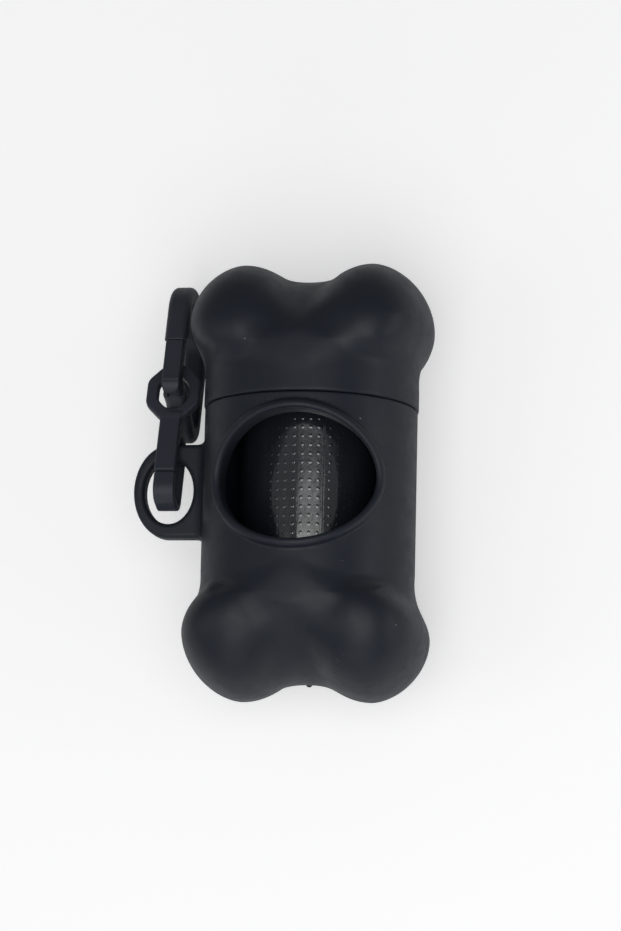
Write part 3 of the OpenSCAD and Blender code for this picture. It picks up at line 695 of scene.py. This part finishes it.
def film():
    """Thin glossy film, embossed with rows of dots, stretched tight with faint creases along the roll."""
    look = Look("embossed_film")
    uv = look.node("UVMap", uv_map="film")[0]
    round_and_along = look.node("SeparateXYZ", {0: uv})
    pitches = (1.6 * MM, 1.66 * MM)
    waves = [
        look.math("SINE", look.times(round_and_along[i], 2 * math.pi / pitch))
        for i, pitch in enumerate(pitches)
    ]
    dots = look.ramp(look.plus(*waves), 1.15, 1.95, 0, 1)
    place = look.place()
    creases = look.noise(look.stretched(place, (700, 60, 700)), 1, 4, 0.6)
    height = look.plus(look.times(dots, 0.7), look.times(creases, 1.2))
    return look.finish(
        Base_Color=look.mix(creases, (0.011, 0.0145, 0.019, 1), (0.02, 0.024, 0.03, 1)),
        IOR=2.2,
        Roughness=look.ramp(look.noise(place, 1500), 0.3, 0.7, 0.10, 0.15),
        Normal=look.bump(height, 0.4, 0.1 * MM),
    )


def paper():
    """Grey-brown core board with fibres and blotches."""
    look = Look("core_board")
    place = look.place()
    fibres = look.noise(look.stretched(place, (2400, 500, 2400)), 1, 5, 0.65)
    blotch = look.noise(place, 180, 3)
    both = look.math("MULTIPLY_ADD", blotch, 0.5, look.times(fibres, 0.5))
    return look.finish(
        Base_Color=look.mix(both, (0.30, 0.21, 0.13, 1), (0.52, 0.40, 0.27, 1)),
        Roughness=look.ramp(fibres, 0.3, 0.7, 0.85, 0.95),
        Normal=look.bump(fibres, 0.4, 0.08 * MM),
    )


case_plastic = plastic("case_soft_touch", (0.0155, 0.0195, 0.0285), 0.44, seam=True)
clip_plastic = plastic("clip_satin", (0.035, 0.040, 0.053), 0.4, dust=0.6)
for piece, look, slot in (
    (body, case_plastic, "case_plastic"),
    (cap, case_plastic, "case_plastic"),
    (link, clip_plastic, "clip_plastic"),
    (clip, clip_plastic, "clip_plastic"),
    (gate, clip_plastic, "clip_plastic"),
    (roll, film(), "bag_film"),
    (core, paper(), "core_paper"),
):
    piece.data.materials.append(look)


# ---------------------------------------------------------------- floor, light and camera
FLOOR_HALF, FLOOR_CELLS, FLOOR_Z = 900, 24, -0.02


def floor_piece():
    """A plain pale floor, a little below the object; the camera sees it paler than it lights the object."""
    row = FLOOR_CELLS + 1
    steps = np.linspace(-FLOOR_HALF, FLOOR_HALF, row)
    points = [(x, y, FLOOR_Z) for y in steps for x in steps]
    corners = [j * row + i for j in range(FLOOR_CELLS) for i in range(FLOOR_CELLS)]
    faces = [(k, k + 1, k + row + 1, k + row) for k in corners]
    floor = new_piece("floor", points, faces)
    look = Look("pale_floor")
    seen = look.node("LightPath")["Is Camera Ray"]
    pale_floor = look.finish(
        Base_Color=(0.86, 0.86, 0.87, 1),
        Roughness=0.9,
        Specular_IOR_Level=0.1,
        Emission_Color=(1, 1, 1, 1),
        Emission_Strength=look.times(seen, 0.42),
    )
    floor.data.materials.append(pale_floor)


def surroundings():
    """Dim light from all sides, and plain white where the camera looks past the floor's edge."""
    world = bpy.data.worlds.new("studio")
    bpy.context.scene.world = world
    world.use_nodes = True
    nodes, links = world.node_tree.nodes, world.node_tree.links
    dim, white = nodes["Background"], nodes.new("ShaderNodeBackground")
    for shade, colour, strength in ((dim, (0.98, 0.99, 1.0, 1), 0.14), (white, (1, 1, 1, 1), 0.96)):
        shade.inputs["Color"].default_value = colour
        shade.inputs["Strength"].default_value = strength
    pick = nodes.new("ShaderNodeMixShader")
    seen = nodes.new("ShaderNodeLightPath").outputs["Is Camera Ray"]
    for i, source in enumerate((seen, dim.outputs[0], white.outputs[0])):
        links.new(source, pick.inputs[i])
    links.new(pick.outputs[0], nodes["World Output"].inputs["Surface"])


def panel(name, place, aim, size, power):
    """An area light, placed in metres and turned towards its aim."""
    data = bpy.data.lights.new(name, "AREA")
    data.shape = "RECTANGLE"
    data.size, data.size_y = size
    data.energy = power
    lamp = bpy.data.objects.new(name, data)
    lamp.location = place
    lamp.rotation_mode = "QUATERNION"
    lamp.rotation_quaternion = (Vector(aim) - Vector(place)).to_track_quat("-Z", "Y")
    bpy.context.scene.collection.objects.link(lamp)


# The camera's place as fitted to the photo: tilts about Y and X and a roll, distance and aim in millimetres
CAMERA_ACROSS, CAMERA_DOWN, CAMERA_ROLL = math.radians(9.319), math.radians(10.31), math.radians(1.363)
CAMERA_FAR, CAMERA_AIM, CAMERA_SCALE = 611.66, (-3.29, 7.0, 0.256), 5.116
SENSOR_W, PHOTO_H = 36, 931


def aim_camera():
    """The camera at its fitted place. CAMERA_SCALE is pixels for each millimetre at the aim."""
    back = Vector((math.tan(CAMERA_ACROSS), -math.tan(CAMERA_DOWN), 1)).normalized()
    right = Vector((0, 1, 0)).cross(back).normalized()
    up = back.cross(right)
    c, s = math.cos(CAMERA_ROLL), math.sin(CAMERA_ROLL)
    turn = Matrix((c * right + s * up, -s * right + c * up, back)).transposed().to_4x4()
    data = bpy.data.cameras.new("camera")
    data.sensor_width = SENSOR_W
    data.lens = CAMERA_SCALE * CAMERA_FAR / PHOTO_H * SENSOR_W
    data.clip_start, data.clip_end = 0.01, 10
    camera = bpy.data.objects.new("camera", data)
    camera.matrix_world = Matrix.Translation((Vector(CAMERA_AIM) + CAMERA_FAR * back) * MM) @ turn
    bpy.context.scene.collection.objects.link(camera)
    bpy.context.scene.camera = camera


floor_piece()
surroundings()
panel("overhead", (0.115, -0.27, 0.8), (0.115, -0.02, 0), (0.65, 0.85), 3.4)
panel("left", (-0.62, -0.2, 0.6), (0, 0, 0.02), (0.5, 0.8), 0.8)
panel("right", (0.85, -0.1, 0.2), (0, 0, 0.02), (0.8, 0.36), 1.2)
panel("near", (0, -0.9, 0.35), (0, 0, 0.02), (1.0, 0.5), 1.0)
aim_camera()
bpy.context.scene.view_settings.view_transform = "Standard"
